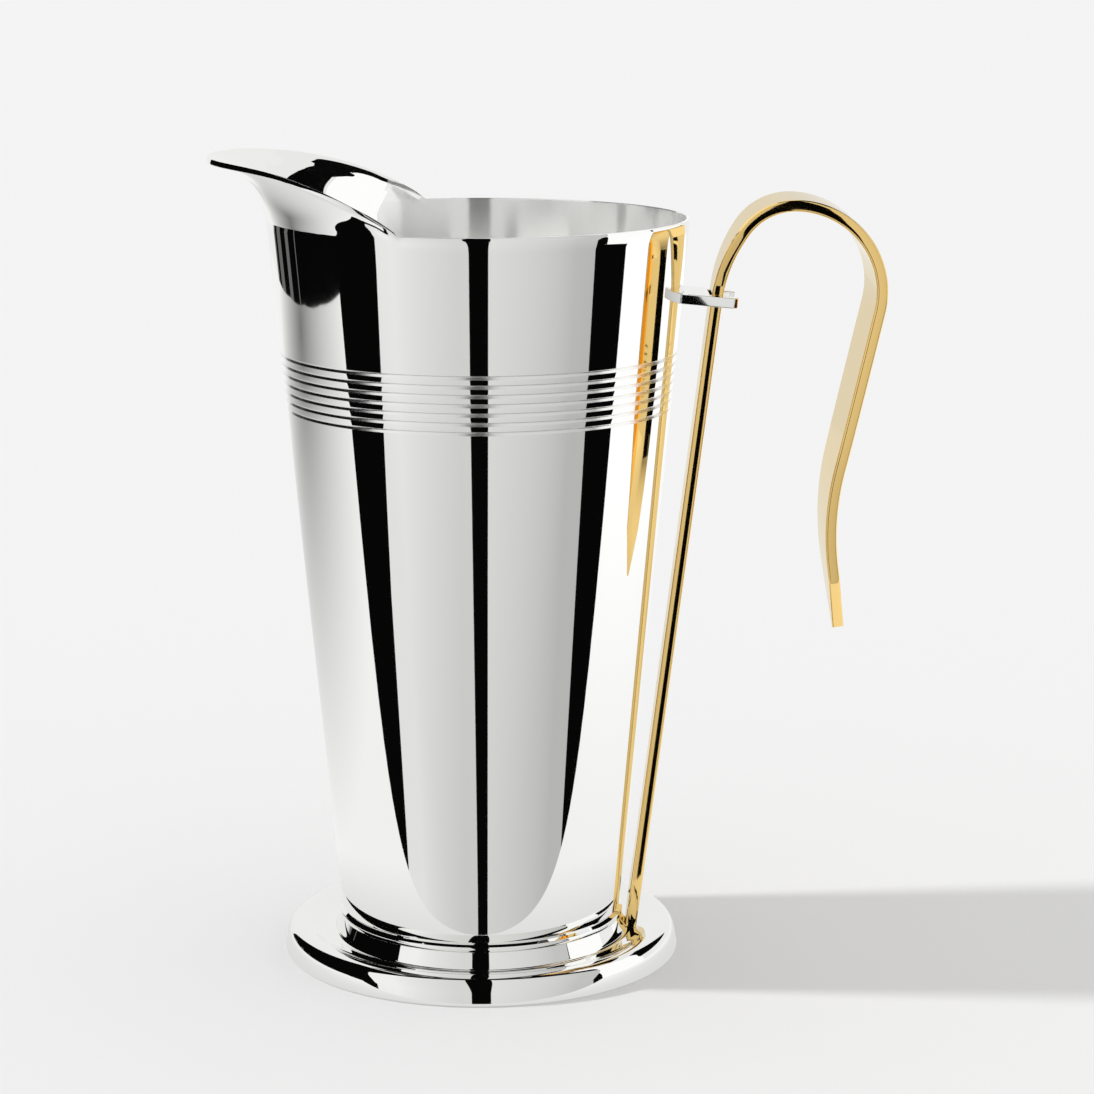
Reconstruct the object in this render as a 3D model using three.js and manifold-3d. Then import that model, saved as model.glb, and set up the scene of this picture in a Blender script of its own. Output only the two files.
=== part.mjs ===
// Tall tapered pitcher in silver plate with a gold-plated strap handle.
// Millimetres, +Z up. The origin lies on the body's axis, on the surface that the foot stands on.
// The spout points along -X and the handle along +X.
import * as THREE from 'three';
import { mergeVertices } from 'three/addons/utils/BufferGeometryUtils.js';
import Module from 'manifold-3d';

const wasm = await Module();
wasm.setup();

// Body: a tapered wall with a floor let into it
const rim_height = 218.3;
const rim_radius = 61.1;
const wall_base_radius = 41.6;
const wall_thickness = 1.2;
const floor_thickness = 1.4;
const solder_gap = 0.2;

// Band of turned grooves round the wall
const groove_count = 7;
const groove_drop = 38.5;
const groove_pitch = 2.62;
const groove_width = 1.1;
const groove_depth = 0.45;

// Spout: a lip that rises from the rim and sweeps out to a broad tongue
const lip_reach = 17.1;
const lip_rise = 16.7;
const spout_half_angle = THREE.MathUtils.degToRad(71.5);
const spout_end_rise = 0.6;
const tongue_half_angle = THREE.MathUtils.degToRad(35.3);
const tongue_corner_power = 8;
const lip_fall_power = 2.4;
const spout_throat = 0.5;
const lip_slope = THREE.MathUtils.degToRad(24);

// Foot: neck, dished ring and rolled edge, chained outwards from the wall's lower edge
const neck_inset = 1.0;
const neck_wall = 2.0;
const neck_length = 2.0;
const collar_width = 0.7;
const collar_height = 3.1;
const recess_height = 0.8;
const recess_depth = 0.3;
const cove_radius = 2.3;
const dish_margin = 0.25;
const dish_wall = 1.5;
const dish_run = 4.3;
const roll_rise = 2.7;
const roll_hollow_width = 2.3;
const rest_ring_width = 3.05;
const edge_height = 0.5;
const edge_chamfer = 0.4;
const top_flange = 4.6;
const top_flange_thickness = 1.5;

// Plate that closes the hollow foot
const plate_thickness = 0.8;
const plate_ledge = 2.0;
const plate_gap = 0.2;

// Handle strap: one straight run up the body, a loop and a grip that hangs free
const strap_thickness = 3.3;
const strap_chamfer = 0.4;
const strap_standoff = 9.7;
const strap_rise_past_bracket = 1.0;
const shoulder_radius = 44.1;
const shoulder_turn = THREE.MathUtils.degToRad(27.1);
const crest_radius = 17.5;
const fall_radius = 24.7;
const grip_lean = THREE.MathUtils.degToRad(12.9);
const grip_length = 46.2;
const tail_radius = 83;
const tail_lean = THREE.MathUtils.degToRad(8.1);
const tail_length = 19.2;
const strap_foot_width = 8.6;
const strap_bracket_width = 12.4;
const strap_crest_width = 33;
const strap_grip_width = 34.5;
const strap_tail_width = 13;
const strap_tip_width = 4.5;

// Fork that carries the strap high on the wall, square to the wall
const bracket_drop = 22.6;
const bracket_thickness = 3.0;
const tine_thickness = 3.9;
const tine_reach = 4.3;
const tine_chamfer = 1.2;
const slot_gap = 0.4;
const bracket_gap = 0.3;

// Dowel through the fork and the strap
const pin_diameter = 1.5;
const pin_gap = 0.1;
const pin_cover = 1.5;
const pin_setback = 0.2;

// Screw and washer that draw the strap down on to the foot
const screw_diameter = 2.0;
const screw_engagement = 6.0;
const screw_head_diameter = 3.8;
const screw_head_height = 1.0;
const screw_slot_width = 0.6;
const screw_slot_depth = 0.5;
const screw_gap = 0.15;
const washer_diameter = 5.6;
const washer_thickness = 0.4;
const boss_diameter = 7.0;
const boss_drop = 0.35;
const seat_gap = 0.3;
const screw_clearance = 0.75;

// Facets
const lathe_segments = 64;
const spout_columns = 40;
const spout_rows = 8;
const arc_step = THREE.MathUtils.degToRad(8);
const small_segments = 20;

// Values that follow from the driving dimensions
const screw_stack = boss_drop + seat_gap + washer_thickness + seat_gap + screw_head_height;
const dish_height = plate_thickness + screw_clearance + screw_stack + dish_wall;
const dish_width = strap_thickness + 2 * dish_margin;
const roll_height = dish_height + roll_rise;
const roll_width = roll_hollow_width + plate_ledge + rest_ring_width + edge_chamfer;
const foot_height = dish_height + cove_radius + neck_length + collar_height;
const wall_base_height = foot_height + solder_gap;
const wall_lean = Math.atan2(rim_radius - wall_base_radius, rim_height - wall_base_height);
const neck_radius = wall_base_radius - neck_inset;
const dish_inner_radius = neck_radius + cove_radius;
const dish_outer_radius = dish_inner_radius + dish_width;
const roll_crest_radius = dish_outer_radius + dish_run;
const foot_radius = roll_crest_radius + roll_width;
const plate_seat_radius = roll_crest_radius + roll_hollow_width + plate_ledge;
const strap_foot_radius = dish_inner_radius + dish_width / 2;
const bracket_height = rim_height - bracket_drop;
const slot_width = strap_bracket_width + 2 * slot_gap;
const bracket_width = slot_width + 2 * tine_thickness;

// The wall's outer radius at a height
function wallRadius(height) {
  return rim_radius - (rim_height - height) * Math.tan(wall_lean);
}

const silver_plate = new THREE.MeshStandardMaterial({ color: 0xe4e3e0, metalness: 1, roughness: 0.08 });
const satin_silver = new THREE.MeshStandardMaterial({ color: 0xd5d4d0, metalness: 1, roughness: 0.35 });
const gold_plate = new THREE.MeshStandardMaterial({ color: 0xe6c07a, metalness: 1, roughness: 0.1 });
const plain_steel = new THREE.MeshStandardMaterial({ color: 0xb4b6b8, metalness: 1, roughness: 0.3 });

const pitcher = new THREE.Group();

function addMesh(name, geometry, material, parent = pitcher) {
  const mesh = new THREE.Mesh(geometry, material);
  mesh.name = name;
  parent.add(mesh);
  return mesh;
}

// Turns an outline of [radius, height] points about the Z axis
function turned(outline, segments = lathe_segments) {
  const points = outline.map(([radius, height]) => new THREE.Vector2(radius, height));
  const geometry = new THREE.LatheGeometry(points, segments);
  geometry.rotateX(Math.PI / 2);
  return geometry;
}

// Points on a quarter ellipse from one corner to the other, without the first point
function quarterRound(from, to, steps, startsFlat) {
  const points = [];
  for (let i = 1; i <= steps; i += 1) {
    const angle = (i / steps) * (Math.PI / 2);
    const across = startsFlat ? Math.sin(angle) : 1 - Math.cos(angle);
    const along = startsFlat ? 1 - Math.cos(angle) : Math.sin(angle);
    points.push([from[0] + (to[0] - from[0]) * across, from[1] + (to[1] - from[1]) * along]);
  }
  return points;
}

function toSolid(geometry) {
  const bare = geometry.index ? geometry.toNonIndexed() : geometry.clone();
  bare.deleteAttribute('normal');
  bare.deleteAttribute('uv');
  const merged = mergeVertices(bare, 1e-4);
  const mesh = new wasm.Mesh({
    numProp: 3,
    vertProperties: Float32Array.from(merged.attributes.position.array),
    triVerts: Uint32Array.from(merged.index.array),
  });
  return new wasm.Manifold(mesh);
}

function toGeometry(solid) {
  const mesh = solid.getMesh();
  const geometry = new THREE.BufferGeometry();
  geometry.setAttribute('position', new THREE.BufferAttribute(Float32Array.from(mesh.vertProperties), 3));
  geometry.setIndex(new THREE.BufferAttribute(Uint32Array.from(mesh.triVerts), 1));
  geometry.computeVertexNormals();
  return geometry;
}

// A rod with its middle at a point and its length along a direction
function rod(diameter, length, middle, direction) {
  const geometry = new THREE.CylinderGeometry(diameter / 2, diameter / 2, length, small_segments);
  const turn = new THREE.Quaternion().setFromUnitVectors(new THREE.Vector3(0, 1, 0), direction);
  geometry.applyQuaternion(turn);
  geometry.translate(middle.x, middle.y, middle.z);
  return geometry;
}

// Tapered wall with the band of grooves cut in its outer face
function bodyWall() {
  const outline = [[wall_base_radius, wall_base_height]];
  for (let i = groove_count - 1; i >= 0; i -= 1) {
    const middle = rim_height - groove_drop - i * groove_pitch;
    const low = middle - groove_width / 2;
    const high = middle + groove_width / 2;
    outline.push([wallRadius(low), low]);
    outline.push([wallRadius(middle) - groove_depth, middle]);
    outline.push([wallRadius(high), high]);
  }
  outline.push([rim_radius, rim_height]);
  outline.push([rim_radius - wall_thickness, rim_height]);
  outline.push([wall_base_radius - wall_thickness, wall_base_height]);
  outline.push([wall_base_radius, wall_base_height]);
  return turned(outline);
}

// Disc that closes the lower end of the wall
function bodyFloor() {
  const radius = wall_base_radius - wall_thickness - solder_gap;
  const top = wall_base_height + floor_thickness;
  return turned([[0, wall_base_height], [radius, wall_base_height], [radius, top], [0, top]]);
}

// How far the lip stands out from the rim and above it, at an angle from the spout's middle
function lipOut(angle) {
  return lip_reach / (1 + Math.abs(angle / tongue_half_angle) ** tongue_corner_power);
}

function lipUp(angle) {
  const fall = Math.abs(angle / spout_half_angle) ** lip_fall_power;
  return spout_end_rise + (lip_rise - spout_end_rise) * (1 - fall);
}

// Curve of the spout's outer face from the rim to the lip, as radius and height
function spoutProfile(angle) {
  const base = rim_height + solder_gap;
  const out = lipOut(angle);
  const up = lipUp(angle);
  const throat = up * spout_throat;
  return new THREE.CubicBezierCurve(
    new THREE.Vector2(rim_radius, base),
    new THREE.Vector2(rim_radius + throat * Math.tan(wall_lean), base + throat),
    new THREE.Vector2(rim_radius + out * spout_throat, base + up - out * spout_throat * Math.tan(lip_slope)),
    new THREE.Vector2(rim_radius + out, base + up),
  );
}

// Sheet of the wall's thickness between an outer and an inner grid, closed on all four edges
function spout() {
  const rings = [];
  for (let column = 0; column <= spout_columns; column += 1) {
    const angle = spout_half_angle * ((2 * column) / spout_columns - 1);
    const profile = spoutProfile(angle);
    const outer = [];
    const inner = [];
    for (let row = 0; row <= spout_rows; row += 1) {
      const point = profile.getPoint(row / spout_rows);
      const along = row === 0 ? new THREE.Vector2(0, 1) : profile.getTangent(row / spout_rows);
      const across = new THREE.Vector2(-along.y, along.x).multiplyScalar(wall_thickness);
      outer.push([point.x, point.y]);
      inner.push([point.x + across.x, point.y + across.y]);
    }
    const section = [...outer, ...inner.reverse()];
    const x = -Math.cos(angle);
    const y = Math.sin(angle);
    rings.push(section.map(([radius, height]) => new THREE.Vector3(radius * x, radius * y, height)));
  }
  return lofted(rings);
}

// Joins closed rings of points, each with as many points, and caps both ends
function lofted(rings) {
  const count = rings[0].length;
  const positions = rings.flat().flatMap((point) => [point.x, point.y, point.z]);
  const triangles = [];
  for (let ring = 0; ring < rings.length - 1; ring += 1) {
    for (let i = 0; i < count; i += 1) {
      const a = ring * count + i;
      const b = ring * count + ((i + 1) % count);
      triangles.push(a, b, a + count, b, b + count, a + count);
    }
  }
  const last = (rings.length - 1) * count;
  for (let i = 0; i < count / 2 - 1; i += 1) {
    const j = count - 1 - i;
    triangles.push(i, j, i + 1, i + 1, j, j - 1);
    triangles.push(last + i, last + i + 1, last + j, last + i + 1, last + j - 1, last + j);
  }
  const geometry = new THREE.BufferGeometry();
  geometry.setAttribute('position', new THREE.Float32BufferAttribute(positions, 3));
  geometry.setIndex(triangles);
  geometry.computeVertexNormals();
  return geometry;
}

// Foot: turned shell with a boss under the dish for the handle's screw
function foot() {
  const neck_low = dish_height + cove_radius;
  const collar_low = foot_height - collar_height;
  const collar_middle = (foot_height - recess_height + collar_low) / 2;
  const dish_middle = [dish_outer_radius + dish_run / 2, (dish_height + roll_height) / 2];
  const under = dish_height - dish_wall;
  const neck_inner = neck_radius - neck_wall;
  const flange_low = foot_height - top_flange_thickness;
  const ledge_height = plate_thickness + plate_gap;
  const roll_inner = roll_crest_radius + roll_hollow_width;
  const outline = [
    [neck_radius - top_flange, foot_height],
    [neck_radius - top_flange, flange_low],
    [neck_inner, flange_low],
    [neck_inner, under],
    [dish_outer_radius, under],
    [roll_crest_radius, roll_height - dish_wall],
    [roll_inner, roll_height - dish_wall],
    [roll_inner, ledge_height],
    [plate_seat_radius, ledge_height],
    [plate_seat_radius, 0],
    [foot_radius - edge_chamfer, 0],
    [foot_radius, edge_height],
  ];
  outline.push(...quarterRound([foot_radius, edge_height], [roll_crest_radius, roll_height], 7, false));
  outline.push(...quarterRound([roll_crest_radius, roll_height], dish_middle, 3, true).slice(0, 2));
  outline.push(dish_middle);
  outline.push(...quarterRound(dish_middle, [dish_outer_radius, dish_height], 3, false));
  outline.push([dish_inner_radius, dish_height]);
  outline.push(...quarterRound([dish_inner_radius, dish_height], [neck_radius, neck_low], 4, true));
  outline.push([neck_radius, collar_low]);
  outline.push([neck_radius + collar_width, collar_middle]);
  outline.push([neck_radius - recess_depth, foot_height - recess_height]);
  outline.push([neck_radius, foot_height]);
  outline.push(outline[0]);
  const boss_top = -seat_gap - dish_wall / 2;
  const boss = rod(boss_diameter, boss_top - boss_low, strapPoint((boss_top + boss_low) / 2), strap_axis);
  const hole_diameter = screw_diameter + 2 * screw_gap;
  const hole = rod(hole_diameter, 4 * dish_height, strapPoint(0), strap_axis);
  return toGeometry(toSolid(turned(outline)).add(toSolid(boss)).subtract(toSolid(hole)));
}

// Disc let into the foot's underside
function basePlate() {
  const radius = plate_seat_radius - plate_gap;
  return turned([[0, 0], [radius, 0], [radius, plate_thickness], [0, plate_thickness]]);
}

// The strap's straight run starts on the dish and passes the fork at the stated distance from the wall
const strap_start = new THREE.Vector2(strap_foot_radius, dish_height + seat_gap);
const strap_at_bracket = new THREE.Vector2(
  wallRadius(bracket_height) + strap_standoff * Math.cos(wall_lean),
  bracket_height - strap_standoff * Math.sin(wall_lean),
);
const strap_run = strap_at_bracket.clone().sub(strap_start);
const strap_lean = Math.atan2(strap_run.x, strap_run.y);
const strap_axis = new THREE.Vector3(Math.sin(strap_lean), 0, Math.cos(strap_lean));

// Lower end of the foot's boss, measured along the strap from its foot
const boss_low = -seat_gap - dish_wall - boss_drop;

// A point on the middle of the straight run, a distance up from its foot
function strapPoint(distance) {
  return new THREE.Vector3(strap_start.x, 0, strap_start.y).addScaledVector(strap_axis, distance);
}

// Walks the strap's side view. Each station has its place, its heading from +X and its width.
function strapStations() {
  const stations = [];
  const place = strap_start.clone();
  let heading = Math.PI / 2 - strap_lean;
  const ease = (share) => (1 - Math.cos(Math.PI * share)) / 2;
  const slowStart = (share) => 1 - Math.cos((Math.PI / 2) * share);
  const mark = (width) => stations.push({ x: place.x, z: place.y, heading, width });
  const straight = (length) => {
    place.x += length * Math.cos(heading);
    place.y += length * Math.sin(heading);
  };
  const bend = (radius, turn, widthAt) => {
    const steps = Math.ceil(Math.abs(turn) / arc_step);
    const chord = 2 * radius * Math.sin(Math.abs(turn) / steps / 2);
    for (let i = 1; i <= steps; i += 1) {
      heading += turn / steps / 2;
      straight(chord);
      heading += turn / steps / 2;
      mark(widthAt(i / steps));
    }
  };
  mark(strap_foot_width);
  straight(strap_run.length() + strap_rise_past_bracket);
  mark(strap_bracket_width);
  const crest_turn = Math.PI / 2 - strap_lean - shoulder_turn;
  const shoulder_length = shoulder_radius * shoulder_turn;
  const rise_length = shoulder_length + crest_radius * crest_turn;
  const widening = strap_crest_width - strap_bracket_width;
  const riseWidth = (length) => strap_bracket_width + widening * ease(length / rise_length);
  const shoulderWidth = (share) => riseWidth(share * shoulder_length);
  const crestWidth = (share) => riseWidth(THREE.MathUtils.lerp(shoulder_length, rise_length, share));
  bend(shoulder_radius, -shoulder_turn, shoulderWidth);
  bend(crest_radius, -crest_turn, crestWidth);
  const fallWidth = (share) => THREE.MathUtils.lerp(strap_crest_width, strap_grip_width, share);
  bend(fall_radius, -(Math.PI / 2 + grip_lean), fallWidth);
  straight(grip_length);
  mark(strap_grip_width);
  const tailWidth = (share) => THREE.MathUtils.lerp(strap_grip_width, strap_tail_width, slowStart(share));
  bend(tail_radius, grip_lean + tail_lean, tailWidth);
  straight(tail_length);
  mark(strap_tip_width);
  return stations;
}

// Flat strap with chamfered edges, its lower end cut level to stand on the foot
function handleStrap() {
  const rings = strapStations().map((station, index) => {
    const level = index === 0;
    const facing = level ? Math.PI / 2 : station.heading;
    const side = new THREE.Vector2(-Math.sin(facing), Math.cos(facing));
    const half = strap_thickness / 2 / (level ? Math.cos(strap_lean) : 1);
    const edge = station.width / 2;
    const section = [
      [edge - strap_chamfer, half],
      [-edge + strap_chamfer, half],
      [-edge, half - strap_chamfer],
      [-edge, -half + strap_chamfer],
      [-edge + strap_chamfer, -half],
      [edge - strap_chamfer, -half],
      [edge, -half + strap_chamfer],
      [edge, half - strap_chamfer],
    ];
    return section.map(([across, out]) => {
      return new THREE.Vector3(station.x + side.x * out, across, station.z + side.y * out);
    });
  });
  const hole_length = 2 * (screw_engagement + screw_gap);
  const screw_hole = rod(screw_diameter + 2 * screw_gap, hole_length, strapPoint(0), strap_axis);
  const pin_place = strapPoint(strap_run.length());
  const pin_hole = rod(pin_diameter + 2 * pin_gap, 2 * bracket_width, pin_place, pin_axis);
  return toGeometry(toSolid(lofted(rings)).subtract(toSolid(screw_hole)).subtract(toSolid(pin_hole)));
}

// Fork in its own frame: +X away from the wall, +Z square to its flat faces
function handleBracket() {
  const saddle_radius = wallRadius(bracket_height) / Math.cos(wall_lean);
  const slot_start = strap_standoff - strap_thickness / 2 - slot_gap;
  const slot_end = strap_standoff + strap_thickness / 2 + tine_reach;
  const side = bracket_width / 2;
  const slot_side = slot_width / 2;
  const spread = Math.asin(side / (saddle_radius + bracket_gap));
  const outline = new THREE.Shape();
  outline.absarc(-saddle_radius, 0, saddle_radius + bracket_gap, spread, -spread, true);
  outline.lineTo(slot_end - tine_chamfer, -side);
  outline.lineTo(slot_end, -side + tine_chamfer);
  outline.lineTo(slot_end, -slot_side);
  outline.lineTo(slot_start, -slot_side);
  outline.lineTo(slot_start, slot_side);
  outline.lineTo(slot_end, slot_side);
  outline.lineTo(slot_end, side - tine_chamfer);
  outline.lineTo(slot_end - tine_chamfer, side);
  outline.closePath();
  const geometry = new THREE.ExtrudeGeometry(outline, {
    depth: bracket_thickness,
    bevelEnabled: false,
    curveSegments: small_segments,
  });
  geometry.translate(0, 0, -bracket_thickness / 2);
  const pin_middle = new THREE.Vector3(strap_standoff, pin_shift, 0);
  const hole = rod(pin_diameter + 2 * pin_gap, pin_length + 2 * pin_setback, pin_middle, pin_axis);
  return toGeometry(toSolid(geometry).subtract(toSolid(hole)));
}

// The dowel enters the far tine and stops inside the near one
const pin_axis = new THREE.Vector3(0, 1, 0);
const pin_near_end = -bracket_width / 2 + pin_cover;
const pin_far_end = bracket_width / 2 - pin_setback;
const pin_length = pin_far_end - pin_near_end;
const pin_shift = (pin_far_end + pin_near_end) / 2;

function bracketPin() {
  const middle = strapPoint(strap_run.length());
  middle.y = pin_shift;
  return rod(pin_diameter, pin_length, middle, pin_axis);
}

// Screw and washer in the screw's own frame: +Z up the screw, 0 at the strap's lower end
const washer_top = boss_low - seat_gap;

function handleWasher() {
  const inner = screw_diameter / 2 + screw_gap;
  const low = washer_top - washer_thickness;
  const outer = washer_diameter / 2;
  const section = [[inner, low], [outer, low], [outer, washer_top], [inner, washer_top], [inner, low]];
  return turned(section, small_segments);
}

function handleScrew() {
  const head_top = washer_top - washer_thickness - seat_gap;
  const head_low = head_top - screw_head_height;
  const radius = screw_diameter / 2;
  const head_radius = screw_head_diameter / 2;
  const blank = turned([
    [0, head_low],
    [head_radius, head_low],
    [head_radius, head_top],
    [radius, head_top],
    [radius, screw_engagement],
    [0, screw_engagement],
  ], small_segments);
  const slot = new THREE.BoxGeometry(screw_slot_width, 2 * screw_head_diameter, 2 * screw_slot_depth);
  slot.translate(0, 0, head_low);
  return toGeometry(toSolid(blank).subtract(toSolid(slot)));
}

addMesh('body_wall', bodyWall(), silver_plate);
addMesh('body_floor', bodyFloor(), satin_silver);
addMesh('spout', spout(), silver_plate);
addMesh('foot', foot(), silver_plate);
addMesh('base_plate', basePlate(), satin_silver);
addMesh('handle_strap', handleStrap(), gold_plate);

const bracket_frame = new THREE.Group();
bracket_frame.position.set(wallRadius(bracket_height), 0, bracket_height);
bracket_frame.rotation.y = wall_lean;
pitcher.add(bracket_frame);
addMesh('handle_bracket', handleBracket(), silver_plate, bracket_frame);
addMesh('bracket_pin', bracketPin(), plain_steel);

const screw_frame = new THREE.Group();
screw_frame.position.copy(strapPoint(0));
screw_frame.rotation.y = strap_lean;
pitcher.add(screw_frame);
addMesh('handle_washer', handleWasher(), plain_steel, screw_frame);
addMesh('handle_screw', handleScrew(), plain_steel, screw_frame);

export default pitcher;
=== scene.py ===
import math

import bpy
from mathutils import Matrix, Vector


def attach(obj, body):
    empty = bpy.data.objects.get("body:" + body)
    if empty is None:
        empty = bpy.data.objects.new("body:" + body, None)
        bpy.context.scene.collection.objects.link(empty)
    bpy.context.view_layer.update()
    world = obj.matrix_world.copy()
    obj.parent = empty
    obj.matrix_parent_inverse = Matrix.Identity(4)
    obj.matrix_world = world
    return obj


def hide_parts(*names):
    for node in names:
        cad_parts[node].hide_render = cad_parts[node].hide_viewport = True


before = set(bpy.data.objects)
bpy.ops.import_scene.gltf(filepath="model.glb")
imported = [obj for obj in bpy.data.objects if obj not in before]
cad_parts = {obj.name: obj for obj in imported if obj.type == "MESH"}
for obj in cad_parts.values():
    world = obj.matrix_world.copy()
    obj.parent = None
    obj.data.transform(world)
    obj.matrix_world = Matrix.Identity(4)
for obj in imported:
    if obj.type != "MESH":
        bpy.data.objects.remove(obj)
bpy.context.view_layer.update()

# Sizes are in millimetres, as on the bench, and MM turns them into the scene's metres
MM = 0.001

# Body (a name that ends in SMOOTH is in degrees: faces that meet at less are shaded smooth)
RIM_HEIGHT = 218.3
RIM_RADIUS = 61.1
WALL_BASE_HEIGHT = 13.0
WALL_BASE_RADIUS = 41.6
WALL_THICKNESS = 1.2
WALL_SLOPE = (RIM_RADIUS - WALL_BASE_RADIUS) / (RIM_HEIGHT - WALL_BASE_HEIGHT)
BASE_CHAMFER = 0.3
FLOOR_THICKNESS = 1.4
FLOOR_GAP = 0.05
FLOOR_EDGE = 0.1
BODY_STEPS = 384
TURNED_SMOOTH = 35

# Band of turned grooves, each with a long gentle flank below its floor and a short steep one above
GROOVE_COUNT = 7
GROOVE_DROP = 38.5
GROOVE_PITCH = 2.62
GROOVE_WIDTH = 1.15
GROOVE_DEPTH = 0.2
GROOVE_SKIN = 0.005
GROOVE_SHAPE = ((0.0, 0.0), (0.06, 0.1), (0.6, 0.92), (0.68, 1.0), (0.88, 0.8), (0.97, 0.1), (1.0, 0.0))

# Rim: the sheet's edge, with its outer side rounded off where no spout rises
RIM_BAND = 6.0
EDGE_ROUND = 0.25
EDGE_POWER = 0.6
EDGE_POINTS = 6
ROUND_LENGTH = 3.6
ROUND_DEPTH = 0.5
ROUND_FADE = 5.55
SECTION_POINTS = 200
LIP_ROWS = 20
ROUND_ROWS = 12

# Spout: its lip's rise and reach, the lean of the sheet at root and lip, and the lip's curl
LIP_REACH = 15.65
LIP_RISE = 16.65
LIP_THICKENING = 0.4
SPOUT_TURN = math.radians(2.0)
SPOUT_HALF_ANGLE = math.radians(71.6)
TONGUE_HALF_ANGLE = math.radians(33.4)
TONGUE_CORNER_POWER = 3.5
LIP_FALL_POWER = 3.0
SIDE_LEAN = math.radians(3.0)
SIDE_END = math.radians(69)
SIDE_FADE = math.radians(12)
ROOT_LEAN = math.radians(7.8)
ROOT_PULL = 0.25
LIP_LEAN = math.radians(78)
LIP_LEAN_GAIN = 2.0
LIP_PULL = 0.6
FLARE_STEPS = 40
CURL_LENGTH = 1.8
CURL_DEPTH = 0.7
CURL_RISE = 2.0
CURL_LEAN = math.radians(44)
CURL_FADE = math.radians(22)

# Polished zone inside the spout, which widens from its border's low end
POLISHED_HALF_ANGLE = math.radians(56.3)
POLISHED_SPREAD = math.radians(0.5)
POLISHED_BEND_WIDTH = math.radians(9)
POLISHED_SPOUT_LOW = 200.0
POLISHED_BORDER_LOW = RIM_HEIGHT - 4.0
FACES_INWARD = 0.5

# Foot
FOOT_RADIUS = 58.75
FOOT_HEIGHT = 12.95
NECK_INNER_RADIUS = 38.6
NECK_TOP = (41.9, 10.35)
NECK_END = (43.5, 6.2)
COVE_STEPS = 10
DISH_HEIGHT = 5.4
DISH_INNER_RADIUS = 45.0
DISH_OUTER_RADIUS = 46.5
DISH_WALL = 1.5
DISH_STEPS = 20
ROLL_CREST = (54.0, 8.0)
ROLL_FACE_LOW = (FOOT_RADIUS, 0.4)
ROLL_FACE_TOP = (58.1, 4.0)
ROLL_PULLS = ((57.7, 6.1), (56.9, 8.0))
ROLL_STEPS = 24
ROLL_INNER_RADIUS = 52.6
ROLL_INNER_FLAT = 0.8
EDGE_CHAMFER = 0.15
BEAD_RADIUS = 42.4
BEAD_SHOULDER = (42.1, 12.0)
BEAD_LOW = 10.7
BEAD_UPRIGHT = 0.5
BEAD_STEPS = (5, 6)
RECESS_RADIUS = 41.0
TOP_FLANGE_RADIUS = 36.0
TOP_FLANGE_LOW = 11.3
PLATE_RADIUS = 55.1
PLATE_THICKNESS = 0.8
PLATE_GAP = 0.2
PLATE_EDGE = 0.15

# Handle strap, in the plane through spout and handle
STRAP_THICKNESS = 3.3
STRAP_FOOT = (44.8, 5.45)
STRAP_AT_BRACKET = (68.61, 194.78)
STRAP_PAST_BRACKET = 1.0
SHOULDER_RADIUS = 44.1
SHOULDER_TURN = math.radians(27.1)
CREST_RADIUS = 17.42
FALL_RADIUS = 24.7
GRIP_LEAN = math.radians(12.9)
GRIP_LENGTH = 46.2
TAIL_RADIUS = 83.0
TAIL_LEAN = math.radians(8.1)
TAIL_LENGTH = 20.2
POINT_LENGTH = 15.7
POINT_WIDTH = 21.0
TIP_WIDTH = 3.2
STRAP_STEP = 1.5
STRAP_SMOOTH = 40

# Strap's section: corner rounding, crown of the edges and how far the edges tilt
STRAP_CORNER = 0.65
STRAP_CROWN = math.radians(5.3)
STRAP_EDGE_TILT = math.radians(3.4)
RISE_EDGE_TILT = math.radians(-1.0)
CORNER_STEPS = 5
CROWN_SHARES = (0.9, 0.6, 0.3)

# Strap's width and edge tilt as (leg, way past the leg's end, value)
# Legs: 0 foot, 1 straight run, 2 shoulder, 3 crest, 4 fall, 5 grip, 6 tail's bend, 7 tail, 8 point
STRAP_WIDTHS = (
    (0, 0.0, 8.7),
    (1, -30.0, 12.0),
    (1, 0.0, 13.2),
    (1, 6.0, 16.6),
    (1, 12.0, 20.2),
    (2, 0.0, 25.0),
    (3, 0.0, 29.4),
    (3, 14.0, 32.2),
    (3, 28.0, 34.0),
    (4, 0.0, 34.4),
    (5, -22.0, 34.4),
    (5, -4.0, 33.2),
    (5, 10.0, 29.5),
    (7, 0.0, POINT_WIDTH),
)
STRAP_TILTS = (
    (0, 0.0, STRAP_EDGE_TILT),
    (1, 0.0, STRAP_EDGE_TILT),
    (1, 8.0, RISE_EDGE_TILT),
    (3, -4.0, RISE_EDGE_TILT),
    (3, 12.0, STRAP_EDGE_TILT),
    (8, 0.0, STRAP_EDGE_TILT),
)

# Fork bracket
BRACKET_DROP = 22.6
BRACKET_THICKNESS = 3.0
BRACKET_WIDTH = 21.0
SLOT_WIDTH = 13.2
SLOT_START = 7.65
SLOT_END = 15.65
TINE_CHAMFER = 1.2
SADDLE_STEPS = 12
SADDLE_GAP = 0.02
BRACKET_EDGE = 0.3
BRACKET_EDGE_STEPS = 3
BRACKET_SMOOTH = 30

# Camera, fitted to the photograph's edges: place in metres, lens and sensor in millimetres
CAMERA_PLACE = (0.0101, -0.9205, 0.3075)
CAMERA_PITCH = 0.1997
CAMERA_YAW = math.radians(-0.6)
CAMERA_LENS = 105.0
CAMERA_SENSOR = 36.0

# Light and background
FLOOR_COLOUR = "#f4f4f4"
BACKGROUND = "#f1f1f1"
KEY_HEIGHT = math.radians(35.5)
KEY_SIZE = math.radians(4.5)
KEY_STRENGTH = 1.43
AMBIENT = 0.733

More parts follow.
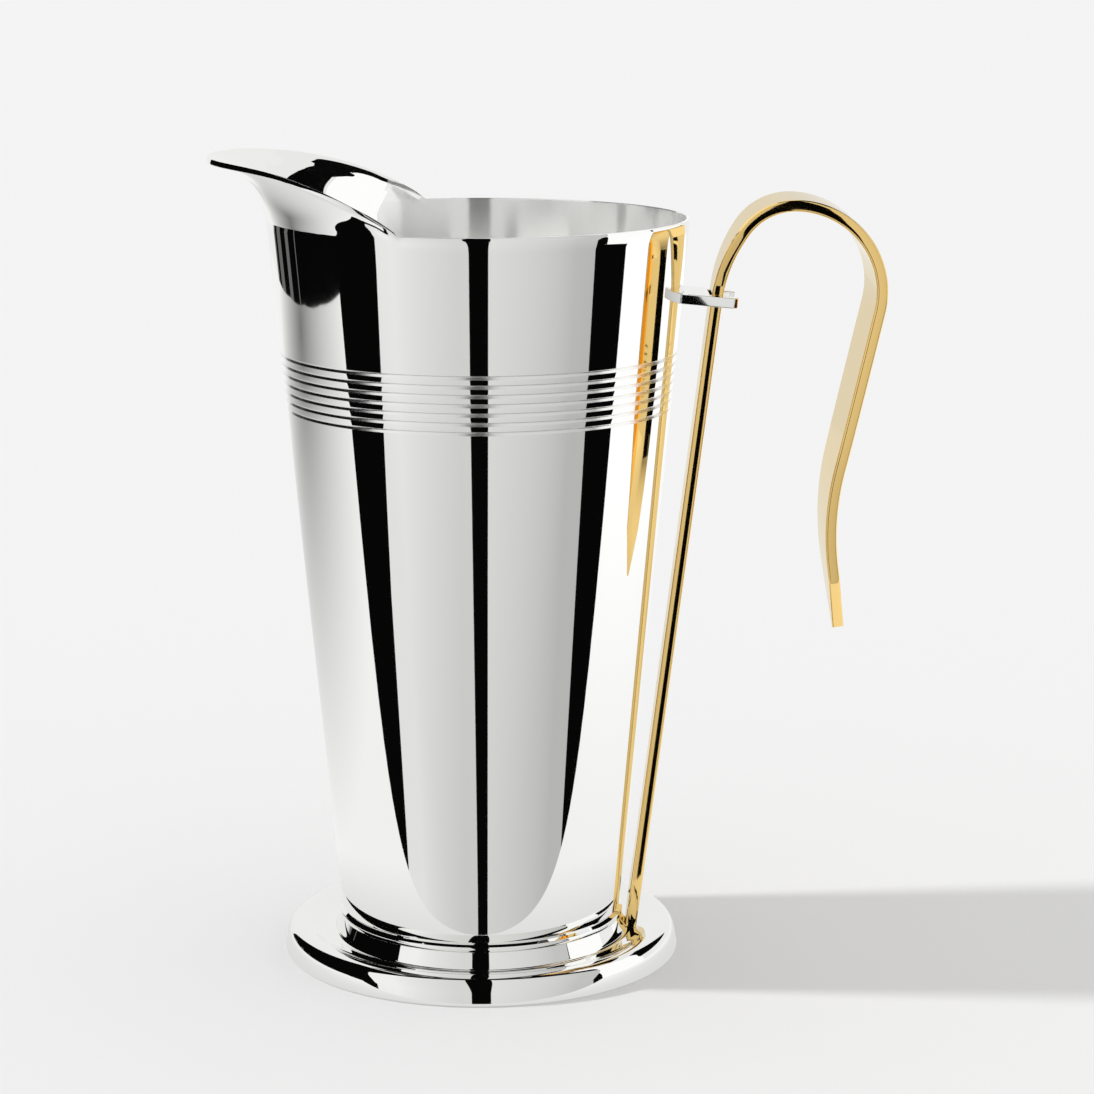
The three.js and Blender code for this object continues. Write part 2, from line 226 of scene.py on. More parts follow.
# Studio in metres: where its planes lie
FLOOR_HEIGHT = -0.0004
TABLE_HEIGHT = -0.0002
FRONT = -1.5
BEHIND_FRONT = -1.65
TABLE_EDGE = -0.07
CEILING = 3.6
STUDIO_FLOOR = -2.8
LEFT_WALL = -2.9
LEFT_STANDS = -2.85
RIGHT_CARD = 3.7
RIGHT_DARK_FRONT = 3.72
RIGHT_DARK_BACK = 3.75
SHEET_TOP = (-0.57, 2.23)
DARK_TOP = (0.0, 4.0)

# Plain rectangles of the studio as their low and high corners, in their own planes
FLOOR_CORNERS = ((-6, -3), (6, 12))
DARK_FRONT_CORNERS = ((-5, -4), (5, 0))
CEILING_CORNERS = ((-1.6, 0.0), (2.0, 2.3))
STUDIO_FLOOR_CORNERS = ((-2.8, FRONT), (3.6, 0.5))
LEFT_WALL_CORNERS = ((-1.6, -4), (4.4, 6))
RIGHT_DARK_LOW_CORNERS = ((-1.7, -4), (1.2, -0.5))
RIGHT_DARK_FRONT_CORNERS = ((-1.7, -0.5), (-1.0, 1.7))

# How bright the plain cards are
BLACK_GLOW = 0.002
CEILING_GLOW = 0.06
STAND_GLOW = 0.14
SKY_GLOW = 0.86
WHITE_GLOW = 1.05

# Table as the polished sides see it, painted light: brightness across it, a patch of painted shade and a
# painted contact shadow by the foot
TABLE_ACROSS = (0.1, 0.5)
TABLE_LEVELS = (0.9, 1.06)
SHADE_PATCH_PLACE = (-0.78, 0.42)
SHADE_PATCH_SIZE = (0.85, 0.6)
SHADE_PATCH_LEVELS = (1.03, 0.22)
CONTACT_SHADOW_RADIUS = 0.111
CONTACT_SHADOW_LEVEL = 0.8
TABLE_OUTLINE = ((-0.05, TABLE_EDGE), (3.0, TABLE_EDGE), (3.0, 1.5), (-0.6, 1.5), (-0.74, 0.95),
                 (-0.815, 0.64), (-0.846, 0.34), (-0.834, 0.09), (-0.796, -0.135))

# Front sheets with the lens slit between them: painted light fading across, painted shade darker towards
# the studio's floor
LOW_SHADE = 0.86
LOW_SHADE_DEPTH = -0.8
LEFT_SHEET_ACROSS = (-1.6, -0.3)
LEFT_SHEET_LEVELS = (0.92, 0.70)
RIGHT_SHEET_ACROSS = (0.2, 2.1)
RIGHT_SHEET_LEVELS = (0.77, 0.57)
LEFT_SHEET_OUTLINE = ((-2.4, STUDIO_FLOOR), (-0.05, STUDIO_FLOOR), (-0.06, -0.76), (-0.12, -0.35),
                      (-0.13, 0.0), (-2.75, 0.0), (-2.32, -0.4), (-2.28, -0.55), (-2.6, -1.05))
RIGHT_SHEET_OUTLINE = ((0.15, STUDIO_FLOOR), (3.45, STUDIO_FLOOR), (3.5, 0.0), (0.15, 0.0))
LEFT_SHEET_HIGH = ((-2.8, FRONT, 0.0), (-0.13, FRONT, 0.0), (-0.235, *SHEET_TOP), (-2.8, *SHEET_TOP))
RIGHT_SHEET_HIGH = ((0.15, FRONT, 0.0), (3.5, FRONT, 0.0), (3.5, *SHEET_TOP), (0.138, *SHEET_TOP))
DARK_ABOVE_SHEETS = ((-5, BEHIND_FRONT, 0), (5, BEHIND_FRONT, 0), (5, *DARK_TOP), (-5, *DARK_TOP))

# Sides: stands as (place, width) at the left, a white card with a dark back border at the right
STANDS = ((1.5, 0.05), (2.05, 0.3), (2.95, 0.6), (4.0, 0.35))
STAND_LOW = -1.5
STAND_HIGH = 0.2
RIGHT_CARD_OUTLINE = ((-1.1, -0.5), (1.2, -0.5), (1.33, 1.57), (4.05, 5.85), (4.05, 7), (-1.6, 7),
                      (-1.6, 1.6), (-1.1, 1.3))
RIGHT_BACK_OUTLINE = ((1.2, 1.15), (1.33, 1.57), (4.05, 5.85), (6.3, 6.1), (7.16, 4.64), (6.3, 2.1))

# Cards over the scoop, most of them as they are seen from its middle, in degrees round and up
SCOOP = (-0.045, 0.042, 0.226)
FLAG_DISTANCE = 0.25
SKY_DISTANCE = 0.33
FLAG_LOW_VIEW = ((97, 2), (134, 2), (133, 24), (131, 36), (126, 41.5), (118, 44), (97, 30))
FLAG_HIGH_VIEW = ((60, 29), (97, 30), (118, 44), (108, 46.5), (98, 50), (60, 62))
SKY_VIEW = ((85, 30), (97, 2), (150, 2), (158, 40), (150, 75), (85, 75))
REFLECTOR = 0.0635
REFLECTOR_CORNERS = ((-0.03, 0.2188), (0.05, 0.289))


def linear(hex_colour):
    """An sRGB hex colour as linear red, green, blue and alpha."""
    channels = []
    for start in (1, 3, 5):
        value = int(hex_colour[start:start + 2], 16) / 255
        channels.append(value / 12.92 if value <= 0.04045 else ((value + 0.055) / 1.055) ** 2.4)
    return (*channels, 1.0)


def add_node(tree, kind, links=(), inputs=(), **settings):
    """Adds a node, sets its properties and inputs, and links (from node, output, input)."""
    node = tree.nodes.new(kind)
    for name, value in settings.items():
        setattr(node, name, value)
    for name, value in inputs:
        node.inputs[name].default_value = value
    for source, output, name in links:
        tree.links.new(source.outputs[output], node.inputs[name])
    return node


def new_material(name):
    """An empty material and its node tree."""
    material = bpy.data.materials.new(name)
    material.use_nodes = True
    material.node_tree.nodes.clear()
    return material, material.node_tree


def mirror_silver_plate():
    """Silver plate buffed to a mirror: crisp reflections, with a trace of polishing haze."""
    material, tree = new_material("mirror_silver_plate")
    haze_width = 3.85 * MM
    place = add_node(tree, "ShaderNodeTexCoord")
    stretch = add_node(tree, "ShaderNodeMapping", [(place, "Object", "Vector")],
                       [("Scale", (1.0, 1.0, 0.08))])
    haze = add_node(tree, "ShaderNodeTexNoise", [(stretch, "Vector", "Vector")],
                    [("Scale", 1 / haze_width), ("Detail", 3.0)])
    rough = add_node(tree, "ShaderNodeMapRange", [(haze, "Fac", "Value")],
                     [("To Min", 0.012), ("To Max", 0.035)])
    shader = add_node(tree, "ShaderNodeBsdfPrincipled", [(rough, "Result", "Roughness")],
                      [("Base Color", linear("#f8f8f6")), ("Metallic", 1.0)])
    add_node(tree, "ShaderNodeOutputMaterial", [(shader, "BSDF", "Surface")])
    return material


def satin_silver_inside():
    """Silver plate left satin inside: fine turning lines round the axis spread the light up and down."""
    material, tree = new_material("satin_silver_inside")
    line_pitch = 0.5 * MM
    place = add_node(tree, "ShaderNodeTexCoord")
    stretch = add_node(tree, "ShaderNodeMapping", [(place, "Object", "Vector")],
                       [("Scale", (0.01, 0.01, 1.0))])
    lines = add_node(tree, "ShaderNodeTexNoise", [(stretch, "Vector", "Vector")],
                     [("Scale", 1 / line_pitch), ("Detail", 4.0), ("Roughness", 0.6)])
    bump = add_node(tree, "ShaderNodeBump", [(lines, "Fac", "Height")],
                    [("Strength", 0.12), ("Distance", 0.05 * MM)])
    turn = add_node(tree, "ShaderNodeTangent", direction_type="RADIAL", axis="Z")
    shader = add_node(tree, "ShaderNodeBsdfPrincipled",
                      [(bump, "Normal", "Normal"), (turn, "Tangent", "Tangent")],
                      [("Base Color", linear("#fafaf8")), ("Metallic", 0.7), ("Roughness", 0.14),
                       ("Anisotropic", 0.9), ("Anisotropic Rotation", 0.25)])
    add_node(tree, "ShaderNodeOutputMaterial", [(shader, "BSDF", "Surface")])
    return material


def turned_silver_groove():
    """Silver plate in the turned grooves: bright, but softened by the fine marks of the tool."""
    material, tree = new_material("turned_silver_groove")
    mark_pitch = 0.15 * MM
    place = add_node(tree, "ShaderNodeTexCoord")
    stretch = add_node(tree, "ShaderNodeMapping", [(place, "Object", "Vector")],
                       [("Scale", (0.02, 0.02, 1.0))])
    marks = add_node(tree, "ShaderNodeTexNoise", [(stretch, "Vector", "Vector")],
                     [("Scale", 1 / mark_pitch)])
    rough = add_node(tree, "ShaderNodeMapRange", [(marks, "Fac", "Value")],
                     [("To Min", 0.14), ("To Max", 0.26)])
    shader = add_node(tree, "ShaderNodeBsdfPrincipled", [(rough, "Result", "Roughness")],
                      [("Base Color", linear("#f8f8f6")), ("Metallic", 1.0)])
    add_node(tree, "ShaderNodeOutputMaterial", [(shader, "BSDF", "Surface")])
    return material


def polished_gold_plate():
    """Thin gold plate on polished brass: a warm mirror, paler at a slant, with softer patches."""
    material, tree = new_material("polished_gold_plate")
    patch_width = 11 * MM
    place = add_node(tree, "ShaderNodeTexCoord")
    patches = add_node(tree, "ShaderNodeTexNoise", [(place, "Object", "Vector")],
                       [("Scale", 1 / patch_width), ("Detail", 2.0)])
    rough = add_node(tree, "ShaderNodeMapRange", [(patches, "Fac", "Value")],
                     [("To Min", 0.03), ("To Max", 0.07)])
    shader = add_node(tree, "ShaderNodeBsdfPrincipled", [(rough, "Result", "Roughness")],
                      [("Base Color", linear("#fed98c")), ("Metallic", 1.0),
                       ("Specular Tint", linear("#edeee6"))])
    add_node(tree, "ShaderNodeOutputMaterial", [(shader, "BSDF", "Surface")])
    return material


def bright_steel():
    """Plain steel of small fasteners: grey, slightly dull from the tool."""
    material, tree = new_material("bright_steel")
    mark_width = 1.1 * MM
    place = add_node(tree, "ShaderNodeTexCoord")
    marks = add_node(tree, "ShaderNodeTexNoise", [(place, "Object", "Vector")],
                     [("Scale", 1 / mark_width), ("Detail", 3.0)])
    rough = add_node(tree, "ShaderNodeMapRange", [(marks, "Fac", "Value")],
                     [("To Min", 0.2), ("To Max", 0.4)])
    shader = add_node(tree, "ShaderNodeBsdfPrincipled", [(rough, "Result", "Roughness")],
                      [("Base Color", linear("#c4c6c8")), ("Metallic", 1.0)])
    add_node(tree, "ShaderNodeOutputMaterial", [(shader, "BSDF", "Surface")])
    return material


def start_piece(name):
    """Starts a piece as one vertex at the origin, in edit mode, with nothing else selected."""
    bpy.ops.object.select_all(action="DESELECT")
    bpy.ops.mesh.primitive_plane_add(size=1.0)
    piece = bpy.context.object
    piece.name = name
    piece.data.name = name
    bpy.ops.object.mode_set(mode="EDIT")
    bpy.ops.mesh.merge(type="CENTER")
    return piece


def draw_outline(points):
    """Draws an outline in edit mode by extruding the one vertex from point to point."""
    bpy.ops.transform.translate(value=points[0])
    for before, after in zip(points, points[1:]):
        step = Vector(after) - Vector(before)
        bpy.ops.mesh.extrude_vertices_move(TRANSFORM_OT_translate={"value": step})
    bpy.ops.mesh.select_all(action="SELECT")


def turned_piece(name, outline):
    """Spins an outline of (radius, height), which is closed or ends on the axis, round the body's axis."""
    piece = start_piece(name)
    draw_outline([(radius * MM, 0.0, height * MM) for radius, height in outline])
    bpy.ops.mesh.remove_doubles(threshold=1e-6)
    bpy.ops.mesh.spin(steps=BODY_STEPS, angle=math.tau, center=(0, 0, 0), axis=(0, 0, 1))
    bpy.ops.mesh.select_all(action="SELECT")
    bpy.ops.mesh.remove_doubles(threshold=1e-6)
    bpy.ops.mesh.normals_make_consistent(inside=False)
    bpy.ops.object.mode_set(mode="OBJECT")
    return piece


def lofted_piece(name, rings):
    """A skin through closed rings of points, capped at both ends."""
    bpy.ops.object.select_all(action="DESELECT")
    count = len(rings[0])
    bpy.ops.mesh.primitive_circle_add(vertices=count, fill_type="NGON", radius=MM)
    piece = bpy.context.object
    piece.name = name
    piece.data.name = name
    bpy.ops.object.mode_set(mode="EDIT")
    for _ in rings[1:]:
        bpy.ops.mesh.extrude_region_move(TRANSFORM_OT_translate={"value": (0, 0, MM)})
    bpy.ops.object.mode_set(mode="OBJECT")
    for vertex in piece.data.vertices:
        ring = round(vertex.co.z / MM)
        turn = math.atan2(vertex.co.y, vertex.co.x) / math.tau * count
        vertex.co = rings[ring][round(turn) % count]
    bpy.ops.object.mode_set(mode="EDIT")
    bpy.ops.mesh.select_all(action="SELECT")
    bpy.ops.mesh.normals_make_consistent(inside=False)
    bpy.ops.object.mode_set(mode="OBJECT")
    return piece


def finish_piece(piece, nodes, materials, smooth_angle):
    """Shades a piece, gives it its finish and lets it stand for its CAD nodes."""
    bpy.ops.object.select_all(action="DESELECT")
    piece.select_set(True)
    bpy.context.view_layer.objects.active = piece
    bpy.ops.object.shade_smooth_by_angle(angle=math.radians(smooth_angle))
    for material in materials:
        piece.data.materials.append(material)
    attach(piece, "root")
    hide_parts(*nodes)
    even = piece.modifiers.new("even_faces", "WEIGHTED_NORMAL")
    even.keep_sharp = True
    bpy.ops.object.modifier_apply(modifier=even.name)
    return piece


def wall_radius(height):
    """The wall's outer radius at a height."""
    return RIM_RADIUS - (RIM_HEIGHT - height) * WALL_SLOPE


def bezier(p0, p1, p2, p3, share):
    """A point on a curve from p0 to p3 that p1 and p2 pull."""
    rest = 1 - share
    weights = (rest ** 3, 3 * rest ** 2 * share, 3 * rest * share ** 2, share ** 3)
    return tuple(sum(w * p[i] for w, p in zip(weights, (p0, p1, p2, p3))) for i in (0, 1))


def even_points(path, count):
    """Points at even steps along a polyline, ends included."""
    lengths = [0.0]
    for before, after in zip(path, path[1:]):
        lengths.append(lengths[-1] + math.dist(before, after))
    points = []
    segment = 0
    for index in range(count):
        goal = lengths[-1] * index / (count - 1)
        while segment < len(path) - 2 and lengths[segment + 1] < goal:
            segment += 1
        share = (goal - lengths[segment]) / (lengths[segment + 1] - lengths[segment])
        before, after = path[segment], path[segment + 1]
        points.append(tuple(a + (b - a) * share for a, b in zip(before, after)))
    return points


def lip_up(angle):
    """How far the lip stands above the rim at an angle from the spout's middle."""
    return LIP_RISE * max(0.0, 1 - abs(angle / SPOUT_HALF_ANGLE) ** LIP_FALL_POWER)


def lip_out(angle):
    """How far the lip reaches out past the rim: a broad tongue, and sides that lean out a little."""
    tongue = LIP_REACH / (1 + abs(angle / TONGUE_HALF_ANGLE) ** TONGUE_CORNER_POWER)
    fade = min(1.0, max(0.0, (SIDE_END - abs(angle)) / SIDE_FADE))
    return (tongue + lip_up(angle) * math.tan(SIDE_LEAN)) * fade * fade * (3 - 2 * fade)


def flare(root, up, out):
    """The spout's outer line from rim to lip: it leaves the wall with a slight kink and curls outwards."""
    wall_lean = math.atan(WALL_SLOPE)
    extra = max(0.0, math.atan2(out, up) - wall_lean)
    root_lean = wall_lean + ROOT_LEAN * math.tanh(extra / ROOT_LEAN)
    lip_lean = min(LIP_LEAN, wall_lean + LIP_LEAN_GAIN * extra)
    root_pull = ROOT_PULL * math.hypot(out, up)
    lip_pull = LIP_PULL * math.hypot(out, up)
    lip = (root[0] + out, root[1] + up)
    after_root = (root[0] + root_pull * math.sin(root_lean), root[1] + root_pull * math.cos(root_lean))
    before_lip = (lip[0] - lip_pull * math.sin(lip_lean), lip[1] - lip_pull * math.cos(lip_lean))
    return [bezier(root, after_root, before_lip, lip, (i + 1) / FLARE_STEPS) for i in range(FLARE_STEPS)]


def curled(line, amount):
    """Turns the end of a lip's line outwards, less where the lip leans out already."""
    run = (line[-1][0] - line[-4][0], line[-1][1] - line[-4][1])
    lean = math.atan2(*run)
    depth = CURL_DEPTH * amount * min(1.0, max(0.0, (CURL_LEAN - lean) / CURL_FADE))
    points = []
    for radius, height in line:
        near = max(0.0, 1 - math.dist((radius, height), line[-1]) / CURL_LENGTH)
        push = depth * near ** 2
        points.append((radius + push * math.cos(lean), height - push * math.sin(lean)))
    return points


def sheet_edge(outer_end, inner_end):
    """Points over the sheet's edge, from its outer to its inner side, with rounded corners."""
    middle = tuple((a + b) / 2 for a, b in zip(outer_end, inner_end))
    across = tuple((a - b) / 2 for a, b in zip(outer_end, inner_end))
    half = math.hypot(*across)
    ahead = (-across[1] / half, across[0] / half)
    points = []
    for index in range(1, EDGE_POINTS):
        turn = math.pi * index / EDGE_POINTS
        side = math.copysign(abs(math.cos(turn)) ** EDGE_POWER, math.cos(turn))
        bulge = EDGE_ROUND * math.sin(turn) ** EDGE_POWER
        points.append(tuple(m + a * side + h * bulge for m, a, h in zip(middle, across, ahead)))
    return points


def rim_section(angle):
    """The sheet's section near the rim: up outside, over the edge and down inside."""
    top = RIM_HEIGHT - EDGE_ROUND
    up = lip_up(angle)
    low = (wall_radius(RIM_HEIGHT - RIM_BAND), RIM_HEIGHT - RIM_BAND)
    root = (wall_radius(top), top)
    line = [low, root]
    if up > 0:
        line += flare(root, up, lip_out(angle) * min(1.0, up))
    line = even_points(line, SECTION_POINTS)
    length = sum(math.dist(before, after) for before, after in zip(line, line[1:]))
    split = round((SECTION_POINTS - 1) * (1 - ROUND_LENGTH / length))
    line = even_points(line[:split + 1], LIP_ROWS) + even_points(line[split:], ROUND_ROWS)[1:]
    line = curled(line, min(1.0, up / CURL_RISE))
    plain = max(0.0, 1 - up / ROUND_FADE)
    outer = []
    inner = []
    for index, point in enumerate(line):
        before = line[max(index - 1, 0)]
        after = line[min(index + 1, len(line) - 1)]
        run = math.dist(before, after)
        across = (-(after[1] - before[1]) / run, (after[0] - before[0]) / run)
        left = max(0.0, 1 - math.dist(point, line[-1]) / ROUND_LENGTH)
        dip = ROUND_DEPTH * plain * (1 - math.sqrt(1 - left ** 2))
        thick = WALL_THICKNESS + LIP_THICKENING * left * up / LIP_RISE
        outer.append((point[0] + across[0] * dip, point[1] + across[1] * dip))
        inner.append((point[0] + across[0] * thick, point[1] + across[1] * thick))
    return outer + sheet_edge(outer[-1], inner[-1]) + inner[::-1]


def groove(middle):
    """A turned groove in the wall, from its lower to its upper side."""
    low = middle - GROOVE_WIDTH / 2
    points = []
    for share, deep in GROOVE_SHAPE:
        height = low + GROOVE_WIDTH * share
        points.append((wall_radius(height) - GROOVE_DEPTH * deep, height))
    return points


def in_groove(place):
    """Whether a point of the wall lies in the band, below the wall's plain surface."""
    band = abs(place.z - RIM_HEIGHT + GROOVE_DROP + (GROOVE_COUNT - 1) / 2 * GROOVE_PITCH)
    depth = wall_radius(place.z) - math.hypot(place.x, place.y)
    return band < GROOVE_COUNT / 2 * GROOVE_PITCH and GROOVE_SKIN < depth < WALL_THICKNESS / 2


def polished_spread(height):
    """How far the polished zone has widened at a height, as an angle."""
    return POLISHED_SPREAD * max(0.0, height - POLISHED_BORDER_LOW)


def polish_bend(angle, height):
    """How far the mesh's upright lines swing, so that one follows the polished zone's border."""
    near = 1 - abs(abs(angle) - POLISHED_HALF_ANGLE) / POLISHED_BEND_WIDTH
    return math.copysign(max(0.0, near) * polished_spread(height), angle)


def draw_up_lip(piece, plain_rim):
    """Moves a turned body's rim points, row by row, to the spout's sections."""
    rim_low = (RIM_HEIGHT - RIM_BAND - EDGE_ROUND) * MM
    sections = {}
    for vertex in piece.data.vertices:
        if vertex.co.z < rim_low:
            continue
        angle = math.atan2(vertex.co.y, -vertex.co.x) - SPOUT_TURN
        here = (math.hypot(vertex.co.x, vertex.co.y) / MM, vertex.co.z / MM)
        row = min(range(len(plain_rim)), key=lambda i: math.dist(plain_rim[i], here))
        key = round(angle, 5)
        if key not in sections:
            sections[key] = rim_section(angle)
        radius, height = sections[key][row]
        bend = polish_bend(angle, height)
        if bend:
            angle += bend
            radius, height = rim_section(angle)[row]
        turn = angle + SPOUT_TURN
        vertex.co = (-radius * math.cos(turn) * MM, radius * math.sin(turn) * MM, height * MM)


def body_shell(mirror, satin, turned):
    """Wall and spout in one sheet: spun with its grooves, then the lip is drawn up and out."""
    outline = [(WALL_BASE_RADIUS, WALL_BASE_HEIGHT + BASE_CHAMFER)]
    for index in reversed(range(GROOVE_COUNT)):
        outline += groove(RIM_HEIGHT - GROOVE_DROP - index * GROOVE_PITCH)
    plain_rim = rim_section(math.pi)
    outline += plain_rim
    outline.append((wall_radius(POLISHED_SPOUT_LOW) - WALL_THICKNESS, POLISHED_SPOUT_LOW))
    outline.append((WALL_BASE_RADIUS - WALL_THICKNESS, WALL_BASE_HEIGHT))
    outline.append((WALL_BASE_RADIUS - BASE_CHAMFER, WALL_BASE_HEIGHT))
    outline.append(outline[0])
    piece = turned_piece("body_shell", outline)
    draw_up_lip(piece, plain_rim)
    finish_piece(piece, ("body_wall", "spout"), (mirror, satin, turned), TURNED_SMOOTH)
    for face in piece.data.polygons:
        middle = face.center / MM
        inward = -Vector((middle.x, middle.y, 0.0)).normalized()
        angle = abs(math.atan2(middle.y, -middle.x) - SPOUT_TURN)
        in_spout = angle < POLISHED_HALF_ANGLE + polished_spread(middle.z) and middle.z > POLISHED_SPOUT_LOW
        if face.normal.dot(inward) > FACES_INWARD and not in_spout:
            face.material_index = 1
        elif in_groove(middle):
            face.material_index = 2
    return piece


def quarter_round(start, end, count, starts_flat):
    """Points on a quarter ellipse between two corners, without its first point."""
    points = []
    for index in range(1, count + 1):
        turn = math.pi / 2 * index / count
        across = math.sin(turn) if starts_flat else 1 - math.cos(turn)
        along = 1 - math.cos(turn) if starts_flat else math.sin(turn)
        points.append((start[0] + (end[0] - start[0]) * across, start[1] + (end[1] - start[1]) * along))
    return points


def foot_shell(mirror):
    """Spun foot: leaning edge, rolled crest, dish for the strap, cove, neck and a bead under the body."""
    under = DISH_HEIGHT - DISH_WALL
    ledge = PLATE_THICKNESS + PLATE_GAP
    roll_under = ROLL_CREST[1] - DISH_WALL
    outline = [
        (TOP_FLANGE_RADIUS, FOOT_HEIGHT),
        (TOP_FLANGE_RADIUS, TOP_FLANGE_LOW),
        (NECK_INNER_RADIUS, TOP_FLANGE_LOW),
        (NECK_INNER_RADIUS, under),
        (DISH_OUTER_RADIUS, under),
        (ROLL_INNER_RADIUS - ROLL_INNER_FLAT, roll_under),
        (ROLL_INNER_RADIUS, roll_under),
        (ROLL_INNER_RADIUS, ledge),
        (PLATE_RADIUS + PLATE_GAP, ledge),
        (PLATE_RADIUS + PLATE_GAP, 0.0),
        (FOOT_RADIUS - EDGE_CHAMFER, 0.0),
        ROLL_FACE_LOW,
        ROLL_FACE_TOP,
    ]
    for index in range(1, ROLL_STEPS + 1):
        outline.append(bezier(ROLL_FACE_TOP, *ROLL_PULLS, ROLL_CREST, index / ROLL_STEPS))
    for index in range(1, DISH_STEPS + 1):
        share = index / DISH_STEPS
        radius = ROLL_CREST[0] + (DISH_OUTER_RADIUS - ROLL_CREST[0]) * share
        fall = (1 - math.cos(math.pi * share)) / 2
        outline.append((radius, ROLL_CREST[1] + (DISH_HEIGHT - ROLL_CREST[1]) * fall))
    outline.append((DISH_INNER_RADIUS, DISH_HEIGHT))
    outline += quarter_round((DISH_INNER_RADIUS, DISH_HEIGHT), NECK_END, COVE_STEPS, True)
    outline.append(NECK_TOP)
    outline += quarter_round(NECK_TOP, (BEAD_RADIUS, BEAD_LOW), BEAD_STEPS[0], True)
    outline += quarter_round((BEAD_RADIUS, BEAD_LOW + BEAD_UPRIGHT), BEAD_SHOULDER, BEAD_STEPS[1], False)
    outline.append((RECESS_RADIUS, FOOT_HEIGHT))
    outline.append(outline[0])
    piece = turned_piece("foot_shell", outline)
    return finish_piece(piece, ("foot",), (mirror,), TURNED_SMOOTH)


def disc(name, node, radius, low, high, finish, edge):
    """A plain plate with softened edges."""
    outline = [
        (0.0, low),
        (radius - edge, low),
        (radius, low + edge),
        (radius, high - edge),
        (radius - edge, high),
        (0.0, high),
    ]
    piece = turned_piece(name, outline)
    return finish_piece(piece, (node,), (finish,), TURNED_SMOOTH)


def smooth_curve(length, marks):
    """A value at a length along the strap, on a smooth curve through its marks."""
    last = len(marks) - 1
    index = 0
    while index < last - 1 and length > marks[index + 1][0]:
        index += 1
    slopes = []
    for mark in (index, index + 1):
        before = marks[max(mark - 1, 0)]
        after = marks[min(mark + 1, last)]
        slopes.append((after[1] - before[1]) / (after[0] - before[0]))
    (start, start_value), (end, end_value) = marks[index], marks[index + 1]
    span = end - start
    share = min(1.0, (length - start) / span)
    rest = 1 - share
    first = rest ** 2 * (start_value * (1 + 2 * share) + slopes[0] * span * share)
    second = share ** 2 * (end_value * (1 + 2 * rest) - slopes[1] * span * rest)
    return first + second


def strap_line():
    """The strap's middle line as (x, z, heading, length) from foot to tip, and where its legs end."""
    run = (STRAP_AT_BRACKET[0] - STRAP_FOOT[0], STRAP_AT_BRACKET[1] - STRAP_FOOT[1])
    lean = math.atan2(run[0], run[1])
    legs = [
        (math.hypot(*run) + STRAP_PAST_BRACKET, 0.0),
        (SHOULDER_RADIUS * SHOULDER_TURN, -SHOULDER_TURN),
        (CREST_RADIUS * (math.pi / 2 - lean - SHOULDER_TURN), lean + SHOULDER_TURN - math.pi / 2),
        (FALL_RADIUS * (math.pi / 2 + GRIP_LEAN), -math.pi / 2 - GRIP_LEAN),
        (GRIP_LENGTH, 0.0),
        (TAIL_RADIUS * (GRIP_LEAN + TAIL_LEAN), GRIP_LEAN + TAIL_LEAN),
        (TAIL_LENGTH - POINT_LENGTH, 0.0),
        (POINT_LENGTH, 0.0),
    ]
    x, z = STRAP_FOOT
    heading = math.pi / 2 - lean
    length = 0.0
    stations = [(x, z, heading, length)]
    ends = [0.0]
    for leg, turn in legs:
        steps = max(1, math.ceil(leg / STRAP_STEP))
        for _ in range(steps):
            middle = heading + turn / steps / 2
            x += leg / steps * math.cos(middle)
            z += leg / steps * math.sin(middle)
            heading += turn / steps
            length += leg / steps
            stations.append((x, z, heading, length))
        ends.append(length)
    return stations, ends


def strap_section(width, tilt):
    """Points round the strap's section as (across, out): flat faces, round corners, crowned edges."""
    half = STRAP_THICKNESS / 2
    edge = width / 2
    flat = half - STRAP_CORNER
    rise = flat * math.tan(STRAP_CROWN / 2)
    right = []
    for end in (1, -1):
        corner = []
        for index in range(CORNER_STEPS + 1):
            turn = math.pi / 2 - (math.pi / 2 - STRAP_CROWN) * index / CORNER_STEPS
            across = edge - rise - STRAP_CORNER + STRAP_CORNER * math.cos(turn)
            corner.append((across, end * (flat + STRAP_CORNER * math.sin(turn))))
        for share in CROWN_SHARES:
            corner.append((edge - rise * share ** 2, end * flat * share))
        right += corner if end > 0 else corner[::-1]
    right = [(across - (out + half) * math.tan(tilt), out) for across, out in right]
    left = [(-across, out) for across, out in reversed(right)]
    return right + left


def handle_strap(gold):
    """One flat strap, laid ring by ring along its line from the foot to the tip of the grip."""
    stations, ends = strap_line()
    widths = [(ends[leg] + past, width) for leg, past, width in STRAP_WIDTHS]
    tilts = [(ends[leg] + past, tilt) for leg, past, tilt in STRAP_TILTS]
    rings = []
    for index, (x, z, heading, length) in enumerate(stations):
        facing = math.pi / 2 if index == 0 else heading
        side_x, side_z = -math.sin(facing), math.cos(facing)
        to_tip = (ends[-1] - length) / POINT_LENGTH
        width = TIP_WIDTH + (POINT_WIDTH - TIP_WIDTH) * to_tip
        if to_tip > 1:
            width = smooth_curve(length, widths)
        ring = []
        for across, out in strap_section(width, smooth_curve(length, tilts)):
            ring.append(((x + side_x * out) * MM, across * MM, (z + side_z * out) * MM))
        rings.append(ring)
    piece = lofted_piece("handle_strap_fine", rings)
    return finish_piece(piece, ("handle_strap",), (gold,), STRAP_SMOOTH)


